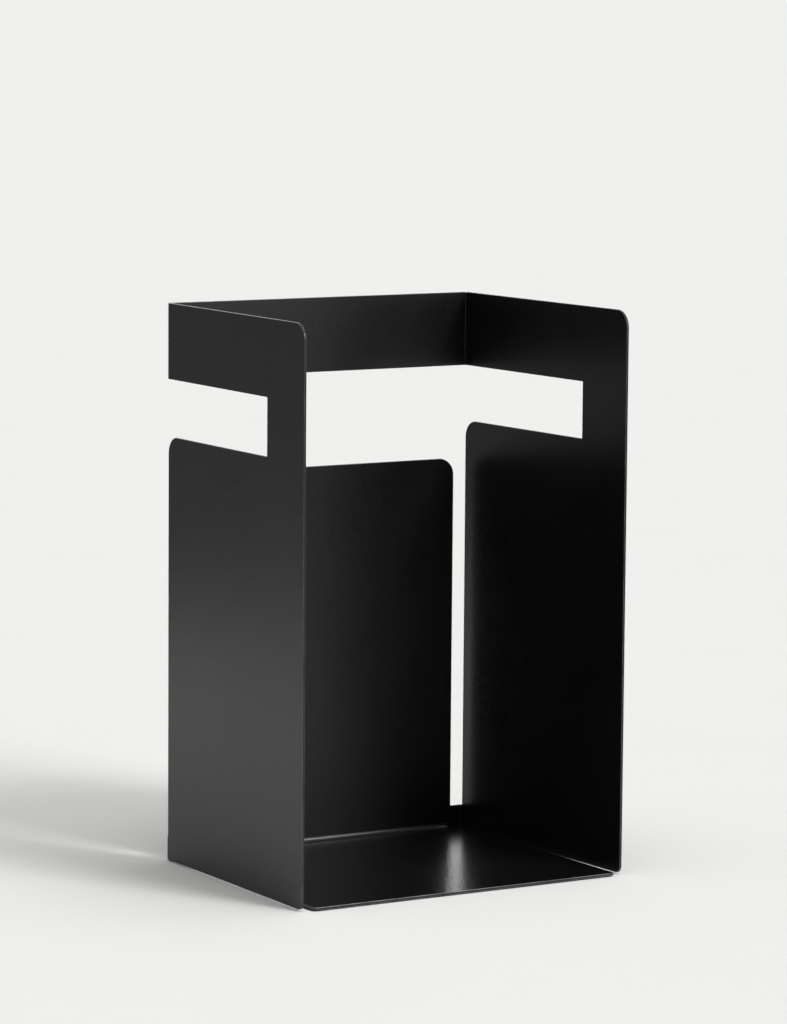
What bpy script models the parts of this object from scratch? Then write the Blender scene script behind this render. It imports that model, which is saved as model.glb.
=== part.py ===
"""Umbrella stand of folded sheet steel: a box that is open at the top and at the front.

Metres, +Z up. The open front faces -Y, and the origin is on the floor, at the middle of the whole stand.
One laser-cut blank is folded into the left side, the back and the right side. A flat base plate lies
between them at the bottom, joined by a weld along the inside of the back, and rests on four thin pads.
"""

import math

import bmesh
import bpy
from mathutils import Vector

# Driving dimensions
HEIGHT = 0.450  # floor to top edge
DEPTH = 0.228  # front edges of the sides to outer face of the back
REAR_WIDTH = 0.2816  # over the outer faces, at the back
FRONT_WIDTH = 0.295  # over the outer faces, at the front: the sides open out a little
SHEET = 0.002  # thickness of wall and base sheet
GAP = 0.0003  # kept between touching pieces

# Folded wall
BAND = 0.0606  # height of the band round the top
SIDE_WINDOW = 0.0457  # height of the window in each side
BACK_WINDOW = 0.0768  # height of the window in the back
FRONT_STRIP = 0.0592  # upright strip between side window and front edge
FOOT_STRIP = 0.0193  # strip below each slit that joins side and back
SLIT = 0.0106  # clear width of the slit beside each rear fold
CORNER = 0.014  # rounded corners of sides and back
LOW_CORNER = 0.006  # bottom front corners of the sides
INNER_CORNER = 0.0008  # corners of the cut-outs
FOLD = 0.003  # outer radius of the rear folds
FOLD_MARK = 0.0009  # small notch that marks the top end of each fold line
FOLD_RELIEF = 0.002  # round relief at the bottom end of each fold line

# Base plate, weld and pads
BASE_WIDTH = 0.277  # fits between the sides at the back
BASE_PROUD = 0.004  # the base plate's front edge stands this far before the sides
BASE_CORNER = 0.003
WELD_LEG = 0.0032
WELD_END = 0.012  # the weld stops this far from each side
PAD_THICKNESS = 0.001
PAD_DIAMETER = 0.018
PAD_INSET = 0.018  # pad centre to the edges of the base plate

ARC_STEPS = 8  # segments of a quarter circle in a large corner
FOLD_STEPS = 6
PAD_STEPS = 32

BACK = (DEPTH + BASE_PROUD) / 2  # y of the back's outer face
FRONT = -BACK  # y of the base plate's front edge
BASE_TOP = PAD_THICKNESS + SHEET
WALL_BOTTOM = PAD_THICKNESS  # level with the underside of the base plate
BASE_BACK = BACK - SHEET - GAP  # y of the base plate's back edge
FLARE = math.atan((FRONT_WIDTH - REAR_WIDTH) / 2 / DEPTH)  # how far each side turns outwards


def clear_scene():
    for obj in list(bpy.data.objects):
        bpy.data.objects.remove(obj)


def make_material(name, colour, roughness, metallic=0.0):
    material = bpy.data.materials.new(name)
    material.use_nodes = True
    shader = material.node_tree.nodes["Principled BSDF"]
    shader.inputs["Base Color"].default_value = (*colour, 1.0)
    shader.inputs["Roughness"].default_value = roughness
    shader.inputs["Metallic"].default_value = metallic
    return material


def add_object(name, mesh, material):
    obj = bpy.data.objects.new(name, mesh)
    bpy.context.scene.collection.objects.link(obj)
    mesh.materials.append(material)
    return obj


def arc(centre, radius, start, end, steps):
    """Points of an arc in a plane, from angle start to angle end, both in degrees."""
    points = []
    for step in range(steps + 1):
        angle = math.radians(start + (end - start) * step / steps)
        points.append((centre[0] + radius * math.cos(angle), centre[1] + radius * math.sin(angle)))
    return points


def rounded(corners, steps=ARC_STEPS):
    """Outline through corners (x, y, radius), in order, with each corner rounded to its radius."""
    outline = []
    for index, (x, y, radius) in enumerate(corners):
        corner = Vector((x, y))
        if radius == 0:
            outline.append((x, y))
            continue
        before = (Vector(corners[index - 1][:2]) - corner).normalized()
        after = (Vector(corners[(index + 1) % len(corners)][:2]) - corner).normalized()
        half = before.angle(after) / 2
        centre = corner + (before + after).normalized() * radius / math.sin(half)
        first = corner + before * radius / math.tan(half) - centre
        last = corner + after * radius / math.tan(half) - centre
        turn = math.degrees(math.atan2(first.cross(last), first.dot(last)))
        start = math.degrees(math.atan2(first.y, first.x))
        outline += arc(centre, radius, start, start + turn, steps if radius > 0.002 else 3)
    return outline


class FoldedPath:
    """The plan of the wall's outer face, from the left front edge round the back to the right front edge.

    Distances run along the unfolded blank, from its middle: negative on the left.
    """

    def __init__(self):
        turn = math.pi / 2 - FLARE
        tangent = FOLD * math.tan(turn / 2)
        self.turn = turn
        self.back_half = REAR_WIDTH / 2 - tangent
        self.arc_length = FOLD * turn
        self.fold_start = self.back_half + self.arc_length
        self.fold_middle = self.back_half + self.arc_length / 2
        self.end = self.fold_start + DEPTH / math.cos(FLARE) - tangent

    def place(self, distance):
        """Position (x, y) of a point of the blank's outer face once it is folded."""
        side = math.copysign(1.0, distance)
        beyond = abs(distance) - self.back_half
        if beyond <= 0:
            return distance, BACK
        angle = min(beyond, self.arc_length) / FOLD
        x = self.back_half + FOLD * math.sin(angle)
        y = BACK - FOLD * (1 - math.cos(angle))
        straight = max(beyond - self.arc_length, 0.0)
        x += straight * math.cos(self.turn)
        y -= straight * math.sin(self.turn)
        return side * x, y


def blank_outline(path):
    """Outer outline of the flat blank, anticlockwise, seen from inside the stand."""
    bottom = WALL_BOTTOM
    right = [
        (path.fold_middle - FOLD_RELIEF, bottom, 0),
        (path.fold_middle - FOLD_RELIEF * 0.7, bottom + FOLD_RELIEF * 0.7, 0),
        (path.fold_middle, bottom + FOLD_RELIEF, 0),
        (path.fold_middle + FOLD_RELIEF * 0.7, bottom + FOLD_RELIEF * 0.7, 0),
        (path.fold_middle + FOLD_RELIEF, bottom, 0),
        (path.end, bottom, LOW_CORNER),
        (path.end, HEIGHT, CORNER),
        (path.fold_middle + FOLD_MARK, HEIGHT, 0),
        (path.fold_middle, HEIGHT - FOLD_MARK, 0),
        (path.fold_middle - FOLD_MARK, HEIGHT, 0),
    ]
    left = [(-s, z, radius) for s, z, radius in reversed(right)]
    return rounded(right + left)


def blank_cutout(path):
    """The one opening in the blank: both side windows, the back window and the slits that lead down from it."""
    window_top = HEIGHT - BAND
    side_top = window_top - SIDE_WINDOW
    back_top = window_top - BACK_WINDOW
    slit_bottom = WALL_BOTTOM + FOOT_STRIP
    strip_edge = path.end - FRONT_STRIP
    tongue_edge = REAR_WIDTH / 2 - SHEET - SLIT
    right = [
        (tongue_edge, back_top, CORNER),
        (tongue_edge, slit_bottom, INNER_CORNER),
        (path.fold_start, slit_bottom, INNER_CORNER),
        (path.fold_start, side_top, CORNER),
        (strip_edge, side_top, INNER_CORNER),
        (strip_edge, window_top, INNER_CORNER),
    ]
    left = [(-s, z, radius) for s, z, radius in reversed(right)]
    return rounded(right + left)


def make_wall(material):
    """Cuts the blank, folds it along both rear fold lines and gives it its thickness."""
    path = FoldedPath()
    bm = bmesh.new()
    for loop in (blank_outline(path), blank_cutout(path)):
        verts = [bm.verts.new((s, 0, z)) for s, z in loop]
        for index, vert in enumerate(verts):
            bm.edges.new((verts[index - 1], vert))
    bmesh.ops.triangle_fill(bm, edges=bm.edges[:], use_beauty=True, use_dissolve=False, normal=(0, -1, 0))
    for side in (-1, 1):
        for step in range(FOLD_STEPS + 1):
            line = side * (path.back_half + path.arc_length * step / FOLD_STEPS)
            geometry = bm.verts[:] + bm.edges[:] + bm.faces[:]
            bmesh.ops.bisect_plane(bm, geom=geometry, dist=1e-6, plane_co=(line, 0, 0), plane_no=(1, 0, 0))
    for vert in bm.verts:
        vert.co.x, vert.co.y = path.place(vert.co.x)
    bmesh.ops.remove_doubles(bm, verts=bm.verts[:], dist=1e-6)
    for face in bm.faces:
        face.normal_update()
        centre = face.calc_center_median()
        if face.normal.dot(Vector((centre.x, centre.y, 0))) < 0:
            face.normal_flip()
    mesh = bpy.data.meshes.new("folded_wall")
    bm.to_mesh(mesh)
    bm.free()
    mesh.shade_smooth()
    mesh.set_sharp_from_angle(angle=math.radians(30))
    wall = add_object("folded_wall", mesh, material)
    thickness = wall.modifiers.new("Sheet thickness", "SOLIDIFY")
    thickness.thickness = SHEET
    thickness.offset = -1
    thickness.use_even_offset = True
    return wall


def extruded(name, outline, low, high, material):
    """A plate of this plan outline, from z = low to z = high."""
    bm = bmesh.new()
    face = bm.faces.new([bm.verts.new((x, y, low)) for x, y in outline])
    raised = bmesh.ops.extrude_face_region(bm, geom=[face])
    verts = [item for item in raised["geom"] if isinstance(item, bmesh.types.BMVert)]
    bmesh.ops.translate(bm, verts=verts, vec=(0, 0, high - low))
    bmesh.ops.recalc_face_normals(bm, faces=bm.faces[:])
    mesh = bpy.data.meshes.new(name)
    bm.to_mesh(mesh)
    bm.free()
    mesh.shade_smooth()
    mesh.set_sharp_from_angle(angle=math.radians(40))
    return add_object(name, mesh, material)


def make_base(material):
    x = BASE_WIDTH / 2
    corners = [(-x, FRONT), (x, FRONT), (x, BASE_BACK), (-x, BASE_BACK)]
    outline = rounded([(*corner, BASE_CORNER) for corner in corners])
    return extruded("base_plate", outline, PAD_THICKNESS, BASE_TOP, material)


def make_weld(material):
    """Hollow fillet in the corner between the back and the base plate, along X."""
    wall = BACK - SHEET - GAP
    floor = BASE_TOP + GAP
    section = [(wall, floor)]
    section += arc((wall - WELD_LEG, floor + WELD_LEG), WELD_LEG, -2, -88, ARC_STEPS)
    half = REAR_WIDTH / 2 - SHEET - WELD_END
    bm = bmesh.new()
    face = bm.faces.new([bm.verts.new((-half, y, z)) for y, z in section])
    run = bmesh.ops.extrude_face_region(bm, geom=[face])
    verts = [item for item in run["geom"] if isinstance(item, bmesh.types.BMVert)]
    bmesh.ops.translate(bm, verts=verts, vec=(2 * half, 0, 0))
    bmesh.ops.recalc_face_normals(bm, faces=bm.faces[:])
    mesh = bpy.data.meshes.new("base_weld")
    bm.to_mesh(mesh)
    bm.free()
    mesh.shade_smooth()
    mesh.set_sharp_from_angle(angle=math.radians(40))
    return add_object("base_weld", mesh, material)


def make_pads(material):
    x = BASE_WIDTH / 2 - PAD_INSET
    front = FRONT + PAD_INSET
    back = BASE_BACK - PAD_INSET
    places = {
        "pad_front_left": (-x, front),
        "pad_front_right": (x, front),
        "pad_back_left": (-x, back),
        "pad_back_right": (x, back),
    }
    circle = arc((0, 0), PAD_DIAMETER / 2, 0, 360, PAD_STEPS)[:-1]
    for name, (x, y) in places.items():
        pad = extruded(name, circle, 0, PAD_THICKNESS - GAP, material)
        pad.location = (x, y, 0)


def main():
    clear_scene()
    powder_coat = make_material("black_powder_coat", (0.018, 0.018, 0.019), 0.42)
    rubber = make_material("dark_rubber", (0.03, 0.03, 0.03), 0.85)
    make_wall(powder_coat)
    make_base(powder_coat)
    make_weld(powder_coat)
    make_pads(rubber)


main()
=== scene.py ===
"""Dresses the folded-steel umbrella stand and lights it on a pale studio floor.

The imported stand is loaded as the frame. The wall, base plate, weld and pads are then made again with rounded
arrises, true bends and finishes, and stand for the plain packed ones.
"""

from __future__ import annotations

import logging
import math
from dataclasses import dataclass, field
from enum import Enum

import bmesh
import bpy
import numpy as np
from mathutils import Matrix, Vector

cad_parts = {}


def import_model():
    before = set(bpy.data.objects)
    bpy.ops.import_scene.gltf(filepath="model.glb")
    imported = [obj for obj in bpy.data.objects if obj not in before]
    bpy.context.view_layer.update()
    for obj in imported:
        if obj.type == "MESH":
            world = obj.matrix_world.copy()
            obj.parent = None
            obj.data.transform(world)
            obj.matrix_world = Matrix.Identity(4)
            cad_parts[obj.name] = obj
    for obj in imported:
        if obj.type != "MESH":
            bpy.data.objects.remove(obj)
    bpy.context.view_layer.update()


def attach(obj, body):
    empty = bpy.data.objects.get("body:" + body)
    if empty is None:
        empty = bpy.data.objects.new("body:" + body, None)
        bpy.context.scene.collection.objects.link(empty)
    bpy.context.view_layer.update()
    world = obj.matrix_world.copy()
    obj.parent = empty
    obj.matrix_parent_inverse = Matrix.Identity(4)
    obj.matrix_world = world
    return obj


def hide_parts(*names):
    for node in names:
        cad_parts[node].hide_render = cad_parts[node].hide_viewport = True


LOG = logging.getLogger("umbrella_stand")

Point = tuple[float, float]
Colour = tuple[float, float, float]

ROOT = "root"
SAME_PLACE = 1e-6  # vertices nearer than this, in metres, are one
LEAST_MITER_DIVISOR = 0.3  # keeps the miter of a sharp corner short
FEWEST_ARC_STEPS = 5
SHARP_EDGE = math.radians(50)
CAMERA_AZIMUTH = 31.459  # degrees; the backdrop stands straight across the stand from the camera


class Slot(Enum):
    """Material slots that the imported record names."""

    POWDER_COAT = "powder_coat"
    PAD = "pad"


class Ray(Enum):
    """Kinds of light ray that a staged studio piece can be kept from."""

    CAMERA = "visible_camera"
    DIFFUSE = "visible_diffuse"
    GLOSSY = "visible_glossy"
    SHADOW = "visible_shadow"
    TRANSMISSION = "visible_transmission"


# Node graphs


class Graph:
    """A node tree with short ways to add and link its nodes."""

    def __init__(self, tree: bpy.types.NodeTree) -> None:
        """Takes over the tree and empties it.

        Args:
            tree: The shader or geometry node tree to fill.
        """
        self.tree = tree
        tree.nodes.clear()

    def add(self, kind: str, inputs: dict | None = None, **settings: object) -> bpy.types.Node:
        """Adds a node.

        Args:
            kind: The node's type, such as ShaderNodeMath.
            inputs: Values or sockets for its inputs, by name or index.
            **settings: The node's own properties.

        Returns:
            The new node.
        """
        node = self.tree.nodes.new(kind)
        for name, value in settings.items():
            setattr(node, name, value)
        for key, value in (inputs or {}).items():
            socket = node.inputs[key]
            if isinstance(value, bpy.types.NodeSocket):
                self.tree.links.new(value, socket)
            else:
                socket.default_value = value
        return node

    def math(self, operation: str, *values: object, clamp: bool = False) -> bpy.types.NodeSocket:
        """Adds a Math node.

        Args:
            operation: The Math node's operation, such as MULTIPLY.
            *values: Numbers or sockets, in order.
            clamp: Whether the result is kept between 0 and 1.

        Returns:
            The node's value.
        """
        node = self.add("ShaderNodeMath", dict(enumerate(values)), operation=operation, use_clamp=clamp)
        return node.outputs[0]

    def ramp(
        self, value: object, low: float, high: float, start: float = 0.0, end: float = 1.0
    ) -> bpy.types.NodeSocket:
        """Maps a value smoothly from the range low to high onto the range start to end.

        Args:
            value: The number or socket to map.
            low: The value that gives start.
            high: The value that gives end.
            start: The result at and below low.
            end: The result at and above high.

        Returns:
            The mapped value.
        """
        node = self.add(
            "ShaderNodeMapRange",
            {"Value": value, "From Min": low, "From Max": high, "To Min": start, "To Max": end},
            interpolation_type="SMOOTHSTEP",
        )
        return node.outputs["Result"]

    def noise(self, place: object, scale: object, detail: float, roughness: float) -> bpy.types.NodeSocket:
        """Adds a Noise texture.

        Args:
            place: The coordinates that it is read at.
            scale: How many features it has to the metre.
            detail: How many finer layers it has.
            roughness: How strong the finer layers are.

        Returns:
            The noise, from 0 to 1.
        """
        inputs = {"Vector": place, "Scale": scale, "Detail": detail, "Roughness": roughness}
        return self.add("ShaderNodeTexNoise", inputs).outputs["Fac"]

    def mix(self, factor: object, first: object, second: object) -> bpy.types.NodeSocket:
        """Mixes two colours.

        Args:
            factor: The share of the second colour.
            first: The colour at factor 0.
            second: The colour at factor 1.

        Returns:
            The mixed colour.
        """
        node = self.add("ShaderNodeMix", data_type="RGBA")
        for index, value in ((0, factor), (6, first), (7, second)):
            if isinstance(value, bpy.types.NodeSocket):
                self.tree.links.new(value, node.inputs[index])
            else:
                node.inputs[index].default_value = value
        return node.outputs[2]


def opaque(colour: Colour) -> tuple[float, float, float, float]:
    """The colour with an alpha of 1."""
    return (*colour, 1.0)


class ShaderGroup:
    """A shader node group that is built once and shared by the materials that use it."""

    NAME = ""

    @classmethod
    def get(cls) -> bpy.types.NodeTree:
        """The group, built the first time that it is asked for."""
        return bpy.data.node_groups.get(cls.NAME) or cls._build()

    @classmethod
    def _build(cls) -> bpy.types.NodeTree:
        """Builds the group. Each kind of group has its own."""
        raise NotImplementedError

    @classmethod
    def _start(cls, inputs: dict[str, float], *outputs: str) -> Graph:
        """Starts the group with its sockets.

        Args:
            inputs: Name and usual value of each input.
            *outputs: Name of each output.

        Returns:
            The group's graph, still empty.
        """
        tree = bpy.data.node_groups.new(cls.NAME, "ShaderNodeTree")
        for name, value in inputs.items():
            socket = tree.interface.new_socket(name=name, in_out="INPUT", socket_type="NodeSocketFloat")
            socket.default_value = value
        for name in outputs:
            tree.interface.new_socket(name=name, in_out="OUTPUT", socket_type="NodeSocketFloat")
        return Graph(tree)


class GrainGroup(ShaderGroup):
    """The fine skin of a coated or moulded surface: orange peel, fine grain and slow waves."""

    NAME = "surface_grain"
    INPUTS = {
        "Peel Size": 0.0012,
        "Peel Depth": 0.000003,
        "Grain Size": 0.00035,
        "Grain Depth": 0.000001,
        "Wave Size": 0.08,
        "Wave Depth": 0.00002,
    }
    LAYER_DETAIL = {"Peel": 1.0, "Grain": 2.0, "Wave": 1.0}
    SLOW_TONE_SCALE = 9.0
    FINE_TONE_SCALE = 900.0
    FINE_SHARE = 0.45
    TONE_RANGE = (0.3, 0.7)

    @classmethod
    def _build(cls) -> bpy.types.NodeTree:
        """Builds the group.

        Returns:
            The group, with Height in metres and a Tone mask from 0 to 1.
        """
        graph = cls._start(cls.INPUTS, "Height", "Tone")
        given = graph.add("NodeGroupInput").outputs
        place = graph.add("ShaderNodeTexCoord").outputs["Object"]
        peel, grain, wave = (
            graph.math(
                "MULTIPLY",
                graph.noise(place, graph.math("DIVIDE", 1.0, given[f"{layer} Size"]), detail, 0.5),
                given[f"{layer} Depth"],
            )
            for layer, detail in cls.LAYER_DETAIL.items()
        )
        height = graph.math("ADD", graph.math("ADD", peel, grain), wave)
        slow = graph.math("MULTIPLY", graph.noise(place, cls.SLOW_TONE_SCALE, 4.0, 0.6), 1.0 - cls.FINE_SHARE)
        fine = graph.noise(place, cls.FINE_TONE_SCALE, 2.0, 0.6)
        tone = graph.ramp(graph.math("MULTIPLY_ADD", fine, cls.FINE_SHARE, slow), *cls.TONE_RANGE)
        graph.add("NodeGroupOutput", {"Height": height, "Tone": tone})
        return graph.tree


class EdgeGroup(ShaderGroup):
    """Arrises: where a coat runs thin over an edge and is rubbed smoother. The lighter colour there is partly
    rubbed coat and partly a painted highlight along the lit edges.
    """

    NAME = "rubbed_edge_and_painted_highlight"
    ATTRIBUTE = "arris"
    PATCH_SCALE = 60.0
    PATCH_RANGE = (0.25, 0.65)
    LEAST_EDGE_MASK = 0.35

    @classmethod
    def _build(cls) -> bpy.types.NodeTree:
        """Builds the group.

        Returns:
            The group, whose Mask is from 0 to Amount.
        """
        graph = cls._start({"Amount": 1.0}, "Mask")
        given = graph.add("NodeGroupInput").outputs
        place = graph.add("ShaderNodeTexCoord").outputs["Object"]
        # the arris mask carries the rubbed coat and also the painted highlight along the lit edges
        edge = graph.add("ShaderNodeAttribute", attribute_name=cls.ATTRIBUTE).outputs["Fac"]
        noise = graph.noise(place, cls.PATCH_SCALE, 3.0, 0.6)
        patchy = graph.ramp(noise, *cls.PATCH_RANGE, start=cls.LEAST_EDGE_MASK)
        mask = graph.math("MULTIPLY", graph.math("MULTIPLY", edge, patchy), given["Amount"], clamp=True)
        graph.add("NodeGroupOutput", {"Mask": mask})
        return graph.tree


class DustGroup(ShaderGroup):
    """Loose dust: sparse pale specks on faces that look up."""

    NAME = "settled_dust"
    INPUTS = {"Speck Spacing": 0.022, "Speck Radius": 0.0003}
    UPWARD_RANGE = (0.3, 0.9)

    @classmethod
    def _build(cls) -> bpy.types.NodeTree:
        """Builds the group.

        Returns:
            The group, whose Mask is 1 in a speck and 0 between the specks.
        """
        graph = cls._start(cls.INPUTS, "Mask")
        given = graph.add("NodeGroupInput").outputs
        place = graph.add("ShaderNodeTexCoord").outputs["Object"]
        scale = graph.math("DIVIDE", 1.0, given["Speck Spacing"])
        cells = graph.add("ShaderNodeTexVoronoi", {"Vector": place, "Scale": scale, "Randomness": 1.0})
        distance = graph.math("MULTIPLY", cells.outputs["Distance"], given["Speck Spacing"])
        inside = graph.math("LESS_THAN", distance, given["Speck Radius"])
        normal = graph.add("ShaderNodeNewGeometry").outputs["Normal"]
        up = graph.ramp(graph.add("ShaderNodeSeparateXYZ", {0: normal}).outputs["Z"], *cls.UPWARD_RANGE)
        graph.add("NodeGroupOutput", {"Mask": graph.math("MULTIPLY", inside, up, clamp=True)})
        return graph.tree


# Finishes


def new_material(name: str) -> tuple[bpy.types.Material, Graph]:
    """A material and its empty node graph."""
    material = bpy.data.materials.new(name)
    material.use_nodes = True
    return material, Graph(material.node_tree)


def add_surface(
    graph: Graph,
    colour: bpy.types.NodeSocket,
    roughness: bpy.types.NodeSocket,
    refraction: float,
    height: bpy.types.NodeSocket,
) -> None:
    """Ends a material's graph in a bumped surface.

    Args:
        graph: The material's graph.
        colour: The surface's colour.
        roughness: Its roughness.
        refraction: Its index of refraction.
        height: Its relief, in metres.
    """
    bump = graph.add("ShaderNodeBump", {"Height": height, "Strength": 1.0, "Distance": 1.0})
    shader = graph.add(
        "ShaderNodeBsdfPrincipled",
        {"Base Color": colour, "Roughness": roughness, "IOR": refraction, "Normal": bump.outputs["Normal"]},
    )
    graph.add("ShaderNodeOutputMaterial", {"Surface": shader.outputs[0]})


@dataclass(frozen=True)
class PowderCoat:
    """Satin black powder coat over steel: an orange-peel skin, thinner and smoother over the arrises. The
    arrises are also lighter, partly from rubbed coat and partly from a painted highlight along the lit edges.
    """

    colour: Colour = (0.0030, 0.0030, 0.0031)
    bloom: Colour = (0.0060, 0.0060, 0.0061)
    # lighter arris colour: rubbed-thin coat, and a painted highlight along the lit edges
    rubbed_and_painted_highlight: Colour = (0.120, 0.118, 0.115)
    speck: Colour = (0.35, 0.34, 0.32)
    roughness: float = 0.29
    roughness_spread: float = 0.05
    edge_roughness: float = 0.25
    refraction: float = 1.45
    peel_size: float = 0.0014
    peel_depth: float = 0.0000040
    grain_size: float = 0.0004
    grain_depth: float = 0.0000012
    wave_size: float = 0.09
    wave_depth: float = 0.00003
    dusty: bool = False
    dust_roughness: float = 0.9

    def material(self, name: str) -> bpy.types.Material:
        """Builds the finish.

        Args:
            name: The material's name.

        Returns:
            The material.
        """
        material, graph = new_material(name)
        grain = graph.add("ShaderNodeGroup", node_tree=GrainGroup.get())
        for socket, value in (
            ("Peel Size", self.peel_size),
            ("Peel Depth", self.peel_depth),
            ("Grain Size", self.grain_size),
            ("Grain Depth", self.grain_depth),
            ("Wave Size", self.wave_size),
            ("Wave Depth", self.wave_depth),
        ):
            grain.inputs[socket].default_value = value
        edge = graph.add("ShaderNodeGroup", node_tree=EdgeGroup.get()).outputs["Mask"]
        colour = graph.mix(grain.outputs["Tone"], opaque(self.colour), opaque(self.bloom))
        # arrises take the lighter colour: rubbed coat plus a painted edge highlight
        colour = graph.mix(edge, colour, opaque(self.rubbed_and_painted_highlight))
        smoothest = self.roughness - self.roughness_spread / 2
        rough = graph.math("MULTIPLY_ADD", grain.outputs["Tone"], self.roughness_spread, smoothest)
        smoother = graph.math("MULTIPLY", edge, self.edge_roughness - self.roughness)
        rough = graph.math("ADD", rough, smoother)
        if self.dusty:
            dust = graph.add("ShaderNodeGroup", node_tree=DustGroup.get()).outputs["Mask"]
            colour = graph.mix(dust, colour, opaque(self.speck))
            rough = graph.math("MAXIMUM", rough, graph.math("MULTIPLY", dust, self.dust_roughness))
        add_surface(graph, colour, rough, self.refraction, grain.outputs["Height"])
        return material


# the plate's arrises are lighter still: a painted highlight along its lit edges, on top of the rubbed coat
BASE_COAT = PowderCoat(
    rubbed_and_painted_highlight=(0.24, 0.235, 0.23), roughness=0.22, peel_size=0.0026, peel_depth=0.00012, dusty=True
)
WELD_COAT = PowderCoat(refraction=1.9, peel_depth=0.0000015, roughness=0.30, roughness_spread=0.03)


@dataclass(frozen=True)
class Rubber:
    """Dark moulded rubber of the pads, matt and finely grained."""

    colour: Colour = (0.022, 0.022, 0.022)
    scuffed: Colour = (0.055, 0.054, 0.052)
    roughness: float = 0.78
    roughness_spread: float = 0.1
    refraction: float = 1.45
    grain_size: float = 0.0006
    grain_depth: float = 0.000015

    def material(self, name: str) -> bpy.types.Material:
        """Builds the finish.

        Args:
            name: The material's name.

        Returns:
            The material.
        """
        material, graph = new_material(name)
        grain = graph.add("ShaderNodeGroup", node_tree=GrainGroup.get())
        grain.inputs["Peel Depth"].default_value = 0.0
        grain.inputs["Wave Depth"].default_value = 0.0
        grain.inputs["Grain Size"].default_value = self.grain_size
        grain.inputs["Grain Depth"].default_value = self.grain_depth
        colour = graph.mix(grain.outputs["Tone"], opaque(self.colour), opaque(self.scuffed))
        smoothest = self.roughness - self.roughness_spread / 2
        rough = graph.math("MULTIPLY_ADD", grain.outputs["Tone"], self.roughness_spread, smoothest)
        add_surface(graph, colour, rough, self.refraction, grain.outputs["Height"])
        return material


@dataclass(frozen=True)
class StudioPaper:
    """Matt off-white background paper."""

    colour: Colour = (0.80, 0.797, 0.785)
    mottled: Colour = (0.785, 0.782, 0.770)
    mottle_scale: float = 4.0
    glow: float = 0.0

    def material(self, name: str) -> bpy.types.Material:
        """Builds the finish.

        Args:
            name: The material's name.

        Returns:
            The material.
        """
        material, graph = new_material(name)
        if self.glow:
            shine = {"Color": opaque(self.colour), "Strength": self.glow}
            emission = graph.add("ShaderNodeEmission", shine)
            graph.add("ShaderNodeOutputMaterial", {"Surface": emission.outputs[0]})
            return material
        place = graph.add("ShaderNodeTexCoord").outputs["Object"]
        noise = graph.noise(place, self.mottle_scale, 3.0, 0.5)
        colour = graph.mix(noise, opaque(self.colour), opaque(self.mottled))
        shader = graph.add("ShaderNodeBsdfDiffuse", {"Color": colour, "Roughness": 0.0})
        graph.add("ShaderNodeOutputMaterial", {"Surface": shader.outputs[0]})
        return material


# Sheet work


def arc(centre: Point, radius: float, start: float, end: float, steps: int) -> list[Point]:
    """Points of an arc.

    Args:
        centre: The arc's centre.
        radius: Its radius.
        start: Its first angle, in degrees.
        end: Its last angle, in degrees.
        steps: How many segments it has.

    Returns:
        The points, both ends included.
    """
    angles = (math.radians(start + (end - start) * step / steps) for step in range(steps + 1))
    return [(centre[0] + radius * math.cos(a), centre[1] + radius * math.sin(a)) for a in angles]


def rounded(corners: list[tuple[float, float, float]], chord: float = 0.0009) -> list[Point]:
    """Rounds each corner of an outline to its own radius.

    Args:
        corners: Position and radius of each corner, in order.
        chord: About how long a segment of a large arc is.

    Returns:
        The outline's points.
    """
    outline: list[Point] = []
    for index, (x, y, radius) in enumerate(corners):
        corner = Vector((x, y))
        if radius == 0:
            outline.append((x, y))
            continue
        before = (Vector(corners[index - 1][:2]) - corner).normalized()
        after = (Vector(corners[(index + 1) % len(corners)][:2]) - corner).normalized()
        half = before.angle(after) / 2
        centre = corner + (before + after).normalized() * radius / math.sin(half)
        first = corner + before * radius / math.tan(half) - centre
        last = corner + after * radius / math.tan(half) - centre
        turn = math.degrees(math.atan2(first.cross(last), first.dot(last)))
        start = math.degrees(math.atan2(first.y, first.x))
        steps = max(FEWEST_ARC_STEPS, round(abs(math.radians(turn)) * radius / chord))
        outline += arc(centre, radius, start, start + turn, steps)
    return outline


def inward(loop: list[Point], distance: float) -> list[Point]:
    """Moves a loop into the sheet, which lies on the loop's left.

    Args:
        loop: The loop's points, in order.
        distance: How far it moves.

    Returns:
        The moved points.
    """
    moved = []
    for index, point in enumerate(loop):
        normal = miter(loop, index)
        moved.append((point[0] + normal.x * distance, point[1] + normal.y * distance))
    return moved


def miter(loop: list[Point], index: int) -> Vector:
    """The way into the sheet at one point of a loop, as long as a mitred corner needs."""
    here = Vector(loop[index])
    first = (here - Vector(loop[index - 1])).normalized()
    second = (Vector(loop[(index + 1) % len(loop)]) - here).normalized()
    left = Vector((-first.y, first.x)) + Vector((-second.y, second.x))
    return left / max(1.0 + first.dot(second), LEAST_MITER_DIVISOR)


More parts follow.
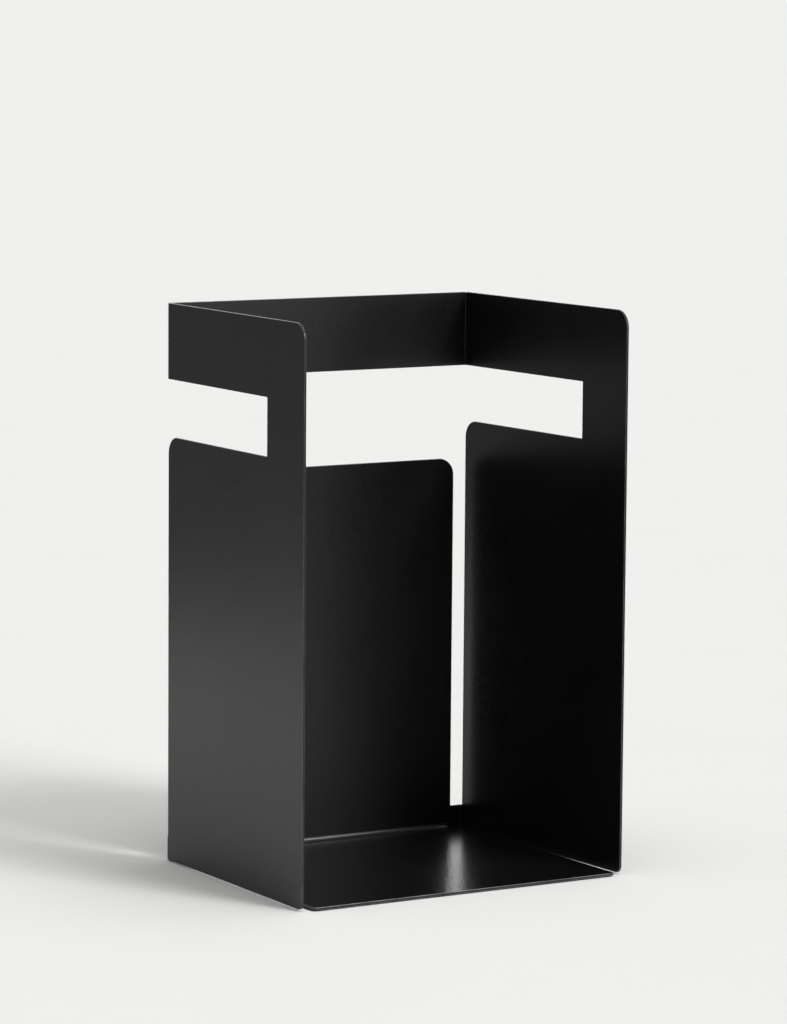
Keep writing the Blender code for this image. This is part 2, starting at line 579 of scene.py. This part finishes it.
@dataclass
class Sheet:
    """A flat piece of sheet metal with rounded arrises.

    Flat coordinates are (along, through, up): along and up in the plane of the sheet, through from 0 at
    the outer face to minus the thickness at the inner one.
    """

    outline: list[Point]
    cutouts: list[list[Point]] = field(default_factory=list)
    thickness: float = 0.002
    arris: float = 0.00045
    arris_steps: int = 4
    rubbed_and_painted_highlight_arc: float = math.radians(40)
    facing_layer: str = "facing"

    def ring_profile(self) -> list[tuple[float, float, float]]:
        """The edge's section, from outer face to inner face.

        Returns:
            For each ring: its distance in from the cut edge, its place through the sheet, and the angle of
            its facing, from 90 degrees at the outer face to minus 90 at the inner one.
        """
        rings = []
        for sign, middle in ((1, -self.arris), (-1, self.arris - self.thickness)):
            for step in range(self.arris_steps + 1):
                share = 1 - step / self.arris_steps if sign > 0 else step / self.arris_steps
                angle = math.radians(90 * share) * sign
                inset = self.arris * (1 - math.cos(angle))
                rings.append((inset, middle + self.arris * math.sin(angle), angle))
        return rings

    def build(self) -> bmesh.types.BMesh:
        """Builds the flat sheet.

        Returns:
            The mesh, with each vertex's facing and arris share as layers.
        """
        bm = bmesh.new()
        facing = bm.verts.layers.float_vector.new(self.facing_layer)
        arris = bm.verts.layers.float.new(EdgeGroup.ATTRIBUTE)
        rings = self.ring_profile()
        face_edges: dict[int, list[bmesh.types.BMEdge]] = {0: [], len(rings) - 1: []}
        for loop in (self.outline, *self.cutouts):
            made = []
            for inset, through, angle in rings:
                ring = []
                for index, (along, up) in enumerate(inward(loop, inset)):
                    vert = bm.verts.new((along, through, up))
                    out = -miter(loop, index).normalized()
                    vert[facing] = (out.x * math.cos(angle), math.sin(angle), out.y * math.cos(angle))
                    # arris share: where the coat is rubbed thin and the painted edge highlight goes
                    vert[arris] = 1.0 if abs(abs(angle) - math.pi / 4) < self.rubbed_and_painted_highlight_arc else 0.0
                    ring.append(vert)
                made.append(ring)
            for upper, lower in zip(made, made[1:]):
                for index in range(len(loop)):
                    bm.faces.new((upper[index - 1], upper[index], lower[index], lower[index - 1]))
            for key, ring in ((0, made[0]), (len(rings) - 1, made[-1])):
                for index, vert in enumerate(ring):
                    ends = (ring[index - 1], vert)
                    face_edges[key].append(bm.edges.get(ends) or bm.edges.new(ends))
        for edges in face_edges.values():
            bmesh.ops.triangle_fill(bm, edges=edges, use_beauty=True, use_dissolve=False)
        face_outwards(bm)
        return bm


def face_outwards(bm: bmesh.types.BMesh) -> None:
    """Turns every face of a closed mesh outwards."""
    bmesh.ops.recalc_face_normals(bm, faces=bm.faces[:])
    if bm.calc_volume(signed=True) < 0:
        bmesh.ops.reverse_faces(bm, faces=bm.faces[:])


def mesh_from(bm: bmesh.types.BMesh, name: str) -> bpy.types.Mesh:
    """Turns a finished BMesh, which is freed, into a mesh."""
    mesh = bpy.data.meshes.new(name)
    bm.to_mesh(mesh)
    bm.free()
    return mesh


def mesh_object(
    name: str, mesh: bpy.types.Mesh, material: bpy.types.Material | None = None
) -> bpy.types.Object:
    """Adds an object at the origin.

    Args:
        name: The object's name.
        mesh: Its mesh.
        material: Its material, if it has one.

    Returns:
        The object.
    """
    obj = bpy.data.objects.new(name, mesh)
    bpy.context.scene.collection.objects.link(obj)
    if material:
        mesh.materials.clear()
        mesh.materials.append(material)
    return obj


def apply_facing(mesh: bpy.types.Mesh, layer: str) -> None:
    """Shades a mesh by the facings that it carries, so that flats stay flat and arrises roll over.

    Args:
        mesh: The mesh.
        layer: The name of its facing attribute, which is removed.
    """
    facing = np.empty(len(mesh.vertices) * 3, np.float32)
    mesh.attributes[layer].data.foreach_get("vector", facing)
    facing = facing.reshape(-1, 3)
    facing /= np.maximum(np.linalg.norm(facing, axis=1, keepdims=True), 1e-9)
    mesh.shade_smooth()
    mesh.normals_split_custom_set_from_vertices(facing.tolist())
    mesh.attributes.remove(mesh.attributes[layer])


class GeometryRig:
    """A Geometry Nodes tree, its modifier's inputs, and the plain mesh that comes out."""

    def __init__(self, name: str, inputs: dict[str, tuple[str, float]]) -> None:
        """Starts the tree.

        Args:
            name: The tree's name.
            inputs: Socket type and value of each named input after the geometry.
        """
        self.tree = bpy.data.node_groups.new(name, "GeometryNodeTree")
        sockets = self.tree.interface
        sockets.new_socket(name="Geometry", in_out="INPUT", socket_type="NodeSocketGeometry")
        self.values = {}
        for label, (kind, value) in inputs.items():
            socket = sockets.new_socket(name=label, in_out="INPUT", socket_type=kind)
            self.values[socket.identifier] = value
        sockets.new_socket(name="Geometry", in_out="OUTPUT", socket_type="NodeSocketGeometry")
        self.graph = Graph(self.tree)
        self.given = self.graph.add("NodeGroupInput").outputs

    def end(self, geometry: bpy.types.NodeSocket, material: bpy.types.Material) -> None:
        """Ends the tree in Realize Instances and Set Material.

        Args:
            geometry: What the tree has made.
            material: The finish of all of it.
        """
        real = self.graph.add("GeometryNodeRealizeInstances", {0: geometry})
        dressed = self.graph.add("GeometryNodeSetMaterial", {"Geometry": real.outputs[0]})
        dressed.inputs["Material"].default_value = material
        self.graph.add("NodeGroupOutput", {0: dressed.outputs[0]})

    def run(self, obj: bpy.types.Object, name: str) -> bpy.types.Object:
        """Runs the tree on an object and turns the result into a plain mesh.

        Args:
            obj: The object that the tree starts from. It is removed.
            name: The new object's name.

        Returns:
            The new object, with no modifier.
        """
        modifier = obj.modifiers.new(self.tree.name, "NODES")
        modifier.node_group = self.tree
        for identifier, value in self.values.items():
            modifier[identifier] = value
        graph = bpy.context.evaluated_depsgraph_get()
        mesh = bpy.data.meshes.new_from_object(obj.evaluated_get(graph), depsgraph=graph)
        mesh.name = name
        bpy.data.objects.remove(obj)
        return mesh_object(name, mesh)


# The stand


@dataclass
class StandSizes:
    """Sizes that the stand's pieces share, in metres."""

    height: float = 0.450
    depth: float = 0.228
    rear_width: float = 0.2816
    front_width: float = 0.295
    sheet: float = 0.002
    base_width: float = 0.277
    base_proud: float = 0.004
    pad_thickness: float = 0.001
    seam: float = 0.00005

    @property
    def back(self) -> float:
        """Y of the back's outer face."""
        return (self.depth + self.base_proud) / 2

    @property
    def base_top(self) -> float:
        """Height of the base plate's upper face."""
        return self.pad_thickness + self.sheet

    @property
    def wall_bottom(self) -> float:
        """Height of the wall's lower edge, level with the plate's underside."""
        return self.pad_thickness

    @property
    def base_back(self) -> float:
        """Y of the base plate's back edge, against the inside of the back."""
        return self.back - self.sheet - self.seam

    @property
    def flare(self) -> float:
        """How far each side turns outwards, in radians."""
        return math.atan((self.front_width - self.rear_width) / 2 / self.depth)


@dataclass
class FoldedWall:
    """Left side, back and right side, cut in one blank and folded at both rear corners."""

    sizes: StandSizes
    finish: PowderCoat
    band: float = 0.0606
    side_window: float = 0.0457
    back_window: float = 0.0768
    front_strip: float = 0.0592
    foot_strip: float = 0.0193
    slit: float = 0.0106
    corner: float = 0.014
    low_corner: float = 0.006
    inner_corner: float = 0.0008
    fold: float = 0.003
    fold_mark: float = 0.0009
    fold_relief: float = 0.0014
    fold_steps: int = 14
    relief_steps: int = 8

    def __post_init__(self) -> None:
        """Works out the lengths of the flat blank."""
        self.turn = math.pi / 2 - self.sizes.flare
        tangent = self.fold * math.tan(self.turn / 2)
        self.back_half = self.sizes.rear_width / 2 - tangent
        self.arc_length = self.fold * self.turn
        self.fold_start = self.back_half + self.arc_length
        self.fold_middle = self.back_half + self.arc_length / 2
        self.end = self.fold_start + self.sizes.depth / math.cos(self.sizes.flare) - tangent

    def outline(self) -> list[Point]:
        """The blank's outer outline, anticlockwise, seen from inside the stand."""
        bottom, top = self.sizes.wall_bottom, self.sizes.height
        middle, relief, mark = self.fold_middle, self.fold_relief, self.fold_mark
        relief_arc = [(s, z, 0.0) for s, z in arc((middle, bottom), relief, 180, 0, self.relief_steps)]
        right = [
            *relief_arc,
            (self.end, bottom, self.low_corner),
            (self.end, top, self.corner),
            (middle + mark, top, 0.0),
            (middle, top - mark, 0.0),
            (middle - mark, top, 0.0),
        ]
        left = [(-s, z, radius) for s, z, radius in reversed(right)]
        return rounded(right + left)

    def cutout(self) -> list[Point]:
        """The one opening: both side windows, the back window and the slits that lead down from it."""
        window_top = self.sizes.height - self.band
        side_top = window_top - self.side_window
        slit_bottom = self.sizes.wall_bottom + self.foot_strip
        tongue = self.sizes.rear_width / 2 - self.sizes.sheet - self.slit
        strip = self.end - self.front_strip
        right = [
            (tongue, window_top - self.back_window, self.corner),
            (tongue, slit_bottom, self.inner_corner),
            (self.fold_start, slit_bottom, self.inner_corner),
            (self.fold_start, side_top, self.corner),
            (strip, side_top, self.inner_corner),
            (strip, window_top, self.inner_corner),
        ]
        left = [(-s, z, radius) for s, z, radius in reversed(right)]
        return list(reversed(rounded(right + left)))

    def press_brake(self, material: bpy.types.Material, facing: str) -> GeometryRig:
        """Builds the tree that folds the flat blank round both rear corners.

        Args:
            material: The finish of the folded sheet.
            facing: The name of the facing attribute, which is turned with the sheet.

        Returns:
            The tree, ready to run on the blank.
        """
        rig = GeometryRig(
            "press_brake",
            {
                "Back Half Width": ("NodeSocketFloat", self.back_half),
                "Fold Radius": ("NodeSocketFloat", self.fold),
                "Fold Angle": ("NodeSocketFloat", self.turn),
                "Back Face": ("NodeSocketFloat", self.sizes.back),
            },
        )
        graph, given = rig.graph, rig.given
        position = graph.add("GeometryNodeInputPosition").outputs[0]
        flat = graph.add("ShaderNodeSeparateXYZ", {0: position}).outputs
        side = graph.math("SIGN", flat[0])
        along = graph.math("ABSOLUTE", flat[0])
        beyond = graph.math("MAXIMUM", graph.math("SUBTRACT", along, given["Back Half Width"]), 0.0)
        arc_length = graph.math("MULTIPLY", given["Fold Radius"], given["Fold Angle"])
        angle = graph.math("DIVIDE", graph.math("MINIMUM", beyond, arc_length), given["Fold Radius"])
        straight = graph.math("MAXIMUM", graph.math("SUBTRACT", beyond, arc_length), 0.0)
        radius = graph.math("ADD", given["Fold Radius"], flat[1])
        x = graph.math("MINIMUM", along, given["Back Half Width"])
        x = graph.math("MULTIPLY_ADD", radius, graph.math("SINE", angle), x)
        x = graph.math("MULTIPLY_ADD", straight, graph.math("COSINE", given["Fold Angle"]), x)
        y = graph.math("SUBTRACT", given["Back Face"], given["Fold Radius"])
        y = graph.math("MULTIPLY_ADD", radius, graph.math("COSINE", angle), y)
        reach = graph.math("MULTIPLY", straight, graph.math("SINE", given["Fold Angle"]))
        y = graph.math("SUBTRACT", y, reach)
        place = graph.add("ShaderNodeCombineXYZ", {0: graph.math("MULTIPLY", x, side), 1: y, 2: flat[2]})
        named = graph.add("GeometryNodeInputNamedAttribute", {"Name": facing}, data_type="FLOAT_VECTOR")
        turned = graph.add(
            "ShaderNodeVectorRotate",
            {
                "Vector": named.outputs[0],
                "Axis": (0.0, 0.0, 1.0),
                "Angle": graph.math("MULTIPLY", graph.math("MULTIPLY", angle, side), -1.0),
            },
            rotation_type="AXIS_ANGLE",
        )
        kept = graph.add(
            "GeometryNodeStoreNamedAttribute",
            {"Geometry": given["Geometry"], "Name": facing, "Value": turned.outputs[0]},
            data_type="FLOAT_VECTOR",
            domain="POINT",
        )
        folded = graph.add(
            "GeometryNodeSetPosition", {"Geometry": kept.outputs[0], "Position": place.outputs[0]}
        )
        rig.end(folded.outputs[0], material)
        return rig

    def build(self) -> bpy.types.Object:
        """Cuts the blank, folds it and dresses it.

        Returns:
            The wall.
        """
        sheet = Sheet(self.outline(), [self.cutout()], self.sizes.sheet)
        bm = sheet.build()
        lines = [
            side * (self.back_half + self.arc_length * step / self.fold_steps)
            for side in (-1, 1)
            for step in range(self.fold_steps + 1)
        ]
        for line in lines:
            geometry = bm.verts[:] + bm.edges[:] + bm.faces[:]
            bmesh.ops.bisect_plane(
                bm, geom=geometry, dist=SAME_PLACE, plane_co=(line, 0, 0), plane_no=(1, 0, 0)
            )
        bmesh.ops.remove_doubles(bm, verts=bm.verts[:], dist=SAME_PLACE)
        mesh = mesh_from(bm, "flat_blank")
        material = self.finish.material("wall_powder_coat")
        blank = mesh_object("flat_blank", mesh)
        wall = self.press_brake(material, sheet.facing_layer).run(blank, "wall_sheet")
        apply_facing(wall.data, sheet.facing_layer)
        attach(wall, ROOT)
        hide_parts("folded_wall")
        return wall


@dataclass
class BasePlate:
    """The flat plate between the sides, at the bottom."""

    sizes: StandSizes
    finish: PowderCoat
    corner: float = 0.003

    def build(self) -> bpy.types.Object:
        """Cuts and dresses the plate.

        Returns:
            The base plate.
        """
        x, front, back = self.sizes.base_width / 2, -self.sizes.back, self.sizes.base_back
        corners = ((-x, front), (x, front), (x, back), (-x, back))
        outline = rounded([(*corner, self.corner) for corner in corners])
        sheet = Sheet(outline, [], self.sizes.sheet)
        bm = sheet.build()
        layer = bm.verts.layers.float_vector[sheet.facing_layer]
        for vert in bm.verts:
            along, through, up = vert.co
            vert.co = (along, up, self.sizes.base_top + through)
            out_along, out_through, out_up = vert[layer]
            vert[layer] = (out_along, out_up, out_through)
        face_outwards(bm)
        mesh = mesh_from(bm, "base_sheet")
        apply_facing(mesh, sheet.facing_layer)
        plate = mesh_object("base_sheet", mesh, self.finish.material("base_powder_coat"))
        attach(plate, ROOT)
        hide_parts("base_plate")
        return plate


@dataclass
class WeldBead:
    """The hollow joint along the inside of the back, smoothed over by the coat."""

    sizes: StandSizes
    finish: PowderCoat
    leg: float = 0.0032
    end_clearance: float = 0.012
    steps: int = 260
    section_steps: int = 10
    ripple: float = 0.04
    taper_share: float = 0.012
    end_leg: float = 0.12

    def leg_at(self, share: float) -> float:
        """The bead's leg at a share of its length, tapered at both ends and slightly uneven between them."""
        taper = min(1.0, math.sqrt(max(0.0, min(share, 1 - share)) / self.taper_share))
        uneven = sum(
            height * math.sin(share * pace + phase)
            for height, pace, phase in ((0.5, 71, 0.0), (0.3, 173, 1.3), (0.2, 389, 0.4))
        )
        return self.leg * (self.end_leg + (1 - self.end_leg) * taper) * (1 + self.ripple * uneven)

    def build(self) -> bpy.types.Object:
        """Lays the bead and dresses it.

        Returns:
            The bead.
        """
        sizes = self.sizes
        wall, floor = sizes.back - sizes.sheet, sizes.base_top
        half = sizes.rear_width / 2 - sizes.sheet - self.end_clearance
        bm = bmesh.new()
        sections = []
        for step in range(self.steps + 1):
            share = step / self.steps
            leg = self.leg_at(share)
            x = -half + 2 * half * share
            section = [(wall + sizes.seam, floor - sizes.seam)]
            section += arc((wall - leg, floor + leg), leg, 0, -90, self.section_steps)
            sections.append([bm.verts.new((x, y, z)) for y, z in section])
        for first, second in zip(sections, sections[1:]):
            for index in range(len(first)):
                bm.faces.new((first[index - 1], first[index], second[index], second[index - 1]))
        bm.faces.new(sections[0])
        bm.faces.new(list(reversed(sections[-1])))
        face_outwards(bm)
        mesh = mesh_from(bm, "weld_bead")
        mesh.shade_smooth()
        mesh.set_sharp_from_angle(angle=SHARP_EDGE)
        bead = mesh_object("weld_bead", mesh, self.finish.material("weld_powder_coat"))
        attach(bead, ROOT)
        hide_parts("base_weld")
        return bead


@dataclass
class FootPads:
    """Four thin rubber discs under the corners of the base plate."""

    sizes: StandSizes
    finish: Rubber
    diameter: float = 0.018
    inset: float = 0.018
    rim: float = 0.0003
    segments: int = 48
    rim_steps: int = 4
    dish: tuple[Point, ...] = ((0.45, 1.0), (0.7, 0.6), (0.8, 0.0))

    def disc(self) -> bpy.types.Object:
        """One pad at the origin, with a rounded rim and a shallow dish under it.

        The dish gives shares of the pad's radius and of its rim.

        Returns:
            The pad's object.
        """
        radius, top = self.diameter / 2, self.sizes.pad_thickness
        hollow = [(radius * out, self.rim * up) for out, up in self.dish]
        lower = arc((radius - self.rim, self.rim), self.rim, -90, 0, self.rim_steps)
        upper = arc((radius - self.rim, top - self.rim), self.rim, 0, 90, self.rim_steps)
        bm = bmesh.new()
        rings = []
        for distance, height in [*hollow, *lower, *upper]:
            ring = []
            for index in range(self.segments):
                angle = math.tau * index / self.segments
                ring.append(bm.verts.new((distance * math.cos(angle), distance * math.sin(angle), height)))
            rings.append(ring)
        for first, second in zip(rings, rings[1:]):
            for index in range(self.segments):
                bm.faces.new((first[index - 1], first[index], second[index], second[index - 1]))
        bm.faces.new(rings[0])
        bm.faces.new(rings[-1])
        face_outwards(bm)
        mesh = mesh_from(bm, "pad_disc")
        mesh.shade_smooth()
        mesh.set_sharp_from_angle(angle=SHARP_EDGE)
        return mesh_object("pad_disc", mesh)

    def build(self) -> bpy.types.Object:
        """Sets a pad at each corner and dresses them.

        Returns:
            The pads, as one piece.
        """
        sizes = self.sizes
        disc = self.disc()
        rig = GeometryRig(
            "pad_corners",
            {
                "Spacing Across": ("NodeSocketFloat", sizes.base_width - 2 * self.inset),
                "Spacing Deep": ("NodeSocketFloat", sizes.back + sizes.base_back - 2 * self.inset),
                "Middle": ("NodeSocketFloat", (sizes.base_back - sizes.back) / 2),
            },
        )
        graph, given = rig.graph, rig.given
        spacing = {"Size X": given["Spacing Across"], "Size Y": given["Spacing Deep"]}
        corners = graph.add("GeometryNodeMeshGrid", {**spacing, "Vertices X": 2, "Vertices Y": 2})
        middle = graph.add("ShaderNodeCombineXYZ", {1: given["Middle"]})
        moved = graph.add(
            "GeometryNodeSetPosition", {"Geometry": corners.outputs[0], "Offset": middle.outputs[0]}
        )
        placed = graph.add(
            "GeometryNodeInstanceOnPoints", {"Points": moved.outputs[0], "Instance": given["Geometry"]}
        )
        rig.end(placed.outputs[0], self.finish.material("pad_rubber"))
        pads = rig.run(disc, "foot_pads")
        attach(pads, ROOT)
        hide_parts("pad_front_left", "pad_front_right", "pad_back_left", "pad_back_right")
        return pads


# The studio


@dataclass
class Camera:
    """A long lens a little above the stand, turned to its left front corner."""

    lens: float = 160.128
    azimuth: float = CAMERA_AZIMUTH
    tilt: float = 6.952
    roll: float = 0.443
    across: float = 0.001464
    depth: float = 0.002
    height: float = 0.286944
    distance: float = 3.612571
    sensor_width: float = 36.0
    nearest: float = 0.05
    farthest: float = 300.0

    def build(self) -> bpy.types.Object:
        """Sets the camera up and makes it the scene's.

        Returns:
            The camera.
        """
        azimuth, tilt, roll = (math.radians(angle) for angle in (self.azimuth, self.tilt, self.roll))
        level_share = math.cos(tilt)
        ahead = Vector((math.sin(azimuth) * level_share, math.cos(azimuth) * level_share, -math.sin(tilt)))
        level = Vector((math.cos(azimuth), -math.sin(azimuth), 0.0))
        upright = level.cross(ahead)
        right = level * math.cos(roll) + upright * math.sin(roll)
        up = upright * math.cos(roll) - level * math.sin(roll)
        target = level * self.across + Vector((0.0, self.depth, self.height))
        place = target - ahead * self.distance
        camera = bpy.data.objects.new("studio_camera", bpy.data.cameras.new("studio_camera"))
        camera.data.lens = self.lens
        camera.data.sensor_width = self.sensor_width
        camera.data.clip_start = self.nearest
        camera.data.clip_end = self.farthest
        turned = Matrix((right, up, -ahead)).transposed().to_4x4()
        camera.matrix_world = Matrix.Translation(place) @ turned
        bpy.context.scene.collection.objects.link(camera)
        bpy.context.scene.camera = camera
        return camera


@dataclass
class SoftLight:
    """A distant soft source.

    The bearing is measured from the stand's open front, towards its right side.
    """

    name: str
    bearing: float
    elevation: float
    spread: float
    strength: float
    colour: Colour = (1.0, 1.0, 1.0)

    def build(self) -> bpy.types.Object:
        """Hangs the light.

        Returns:
            The light.
        """
        bearing, elevation = math.radians(self.bearing), math.radians(self.elevation)
        towards = Vector(
            (
                math.sin(bearing) * math.cos(elevation),
                -math.cos(bearing) * math.cos(elevation),
                math.sin(elevation),
            )
        )
        data = bpy.data.lights.new(self.name, "SUN")
        data.energy = self.strength
        data.angle = math.radians(self.spread)
        data.color = self.colour
        light = bpy.data.objects.new(self.name, data)
        light.rotation_mode = "QUATERNION"
        light.rotation_quaternion = towards.to_track_quat("Z", "Y")
        bpy.context.scene.collection.objects.link(light)
        return light


@dataclass
class LitCard:
    """An upright shining card that faces the stand.

    The bearing is measured in degrees from straight behind the stand, towards its right side.
    """

    name: str
    bearing: float
    distance: float
    width: float
    low: float
    high: float
    glow: float
    colour: Colour = (1.0, 1.0, 0.99)

    def build(self) -> bpy.types.Object:
        """Stands the card up.

        Returns:
            The card.
        """
        turn = math.radians(self.bearing)
        ahead = Vector((math.sin(turn), math.cos(turn), 0.0)) * self.distance
        across = Vector((math.cos(turn), -math.sin(turn), 0.0)) * self.width / 2
        foot, head = Vector((0.0, 0.0, self.low)), Vector((0.0, 0.0, self.high))
        bm = bmesh.new()
        corners = (ahead - across + foot, ahead + across + foot, ahead + across + head, ahead - across + head)
        bm.faces.new([bm.verts.new(corner) for corner in corners])
        material = StudioPaper(colour=self.colour, glow=self.glow).material(self.name)
        return mesh_object(self.name, mesh_from(bm, self.name), material)


@dataclass
class Studio:
    """Pale floor, lit cards that only the stand's gloss sees, soft lights and a dim room."""

    near_floor: float = 1.5
    far_floor: float = 120.0
    floor_steps: int = 128
    ambient: Colour = (0.13, 0.13, 0.13)
    dim_room: Colour = (0.25, 0.25, 0.25)
    sky_for_camera: Colour = (0.87, 0.87, 0.865)
    paper: StudioPaper = field(default_factory=StudioPaper)

    def ring(self, name: str, inner: float, outer: float, material: bpy.types.Material) -> bpy.types.Object:
        """A flat ring of floor, or a disc where the inner radius is 0.

        Args:
            name: The object's name.
            inner: The inner radius.
            outer: The outer radius.
            material: The finish.

        Returns:
            The piece of floor.
        """
        bm = bmesh.new()
        circle = [math.tau * index / self.floor_steps for index in range(self.floor_steps)]
        outside = [bm.verts.new((outer * math.cos(a), outer * math.sin(a), 0.0)) for a in circle]
        if inner == 0:
            bm.faces.new(outside)
        else:
            inside = [bm.verts.new((inner * math.cos(a), inner * math.sin(a), 0.0)) for a in circle]
            for index in range(self.floor_steps):
                bm.faces.new((inside[index - 1], outside[index - 1], outside[index], inside[index]))
        return mesh_object(name, mesh_from(bm, name), material)

    def hide_from(self, obj: bpy.types.Object, *rays: Ray) -> None:
        """Keeps a staged piece out of these kinds of ray."""
        for ray in rays:
            setattr(obj, ray.value, False)

    def world(self) -> None:
        """Gives the scene its dim ambient light and its pale sky."""
        world = bpy.data.worlds.new("studio_room")
        bpy.context.scene.world = world
        world.use_nodes = True
        graph = Graph(world.node_tree)
        path = graph.add("ShaderNodeLightPath").outputs
        colour = graph.mix(path["Is Glossy Ray"], opaque(self.ambient), opaque(self.dim_room))
        colour = graph.mix(path["Is Camera Ray"], colour, opaque(self.sky_for_camera))
        background = graph.add("ShaderNodeBackground", {"Color": colour, "Strength": 1.0})
        graph.add("ShaderNodeOutputWorld", {"Surface": background.outputs[0]})

    def build(self) -> None:
        """Sets up the floor, the cards, the room and the lights."""
        paper = self.paper.material("floor_paper")
        near = self.ring("studio_floor", 0.0, self.near_floor, paper)
        far = self.ring("studio_floor_far", self.near_floor, self.far_floor, paper)
        backdrop = LitCard(
            "backdrop_paper", bearing=CAMERA_AZIMUTH, distance=2.6, width=3.0, low=0.0, high=2.6, glow=1.42
        ).build()
        front = LitCard(
            "front_softbox", bearing=148.0, distance=3.0, width=2.6, low=0.16, high=2.6, glow=1.4
        ).build()
        self.hide_from(far, Ray.DIFFUSE, Ray.GLOSSY, Ray.SHADOW, Ray.TRANSMISSION)
        for card in (backdrop, front):
            self.hide_from(card, Ray.CAMERA, Ray.DIFFUSE, Ray.SHADOW, Ray.TRANSMISSION)
        self.world()
        SoftLight("key_softbox", bearing=20.0, elevation=34.0, spread=17.0, strength=1.50).build()
        SoftLight("side_softbox", bearing=30.0, elevation=38.0, spread=16.0, strength=0.55).build()
        SoftLight("top_softbox", bearing=30.0, elevation=84.0, spread=60.0, strength=1.88).build()
        view = bpy.context.scene.view_settings
        view.view_transform = "Standard"
        view.look = "None"
        view.exposure = 0.0
        view.gamma = 1.0


def main() -> None:
    """Loads the frame, builds the stand and the studio, and logs each new piece's vertex and face counts."""
    logging.basicConfig(level=logging.INFO, format="%(name)s: %(message)s")
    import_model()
    sizes = StandSizes()
    for piece in (
        FoldedWall(sizes, PowderCoat()),
        BasePlate(sizes, BASE_COAT),
        WeldBead(sizes, WELD_COAT),
        FootPads(sizes, Rubber()),
    ):
        made = piece.build()
        LOG.info("%s: %d vertices, %d faces", made.name, len(made.data.vertices), len(made.data.polygons))
    Camera().build()
    Studio().build()


if __name__ == "__main__":
    main()
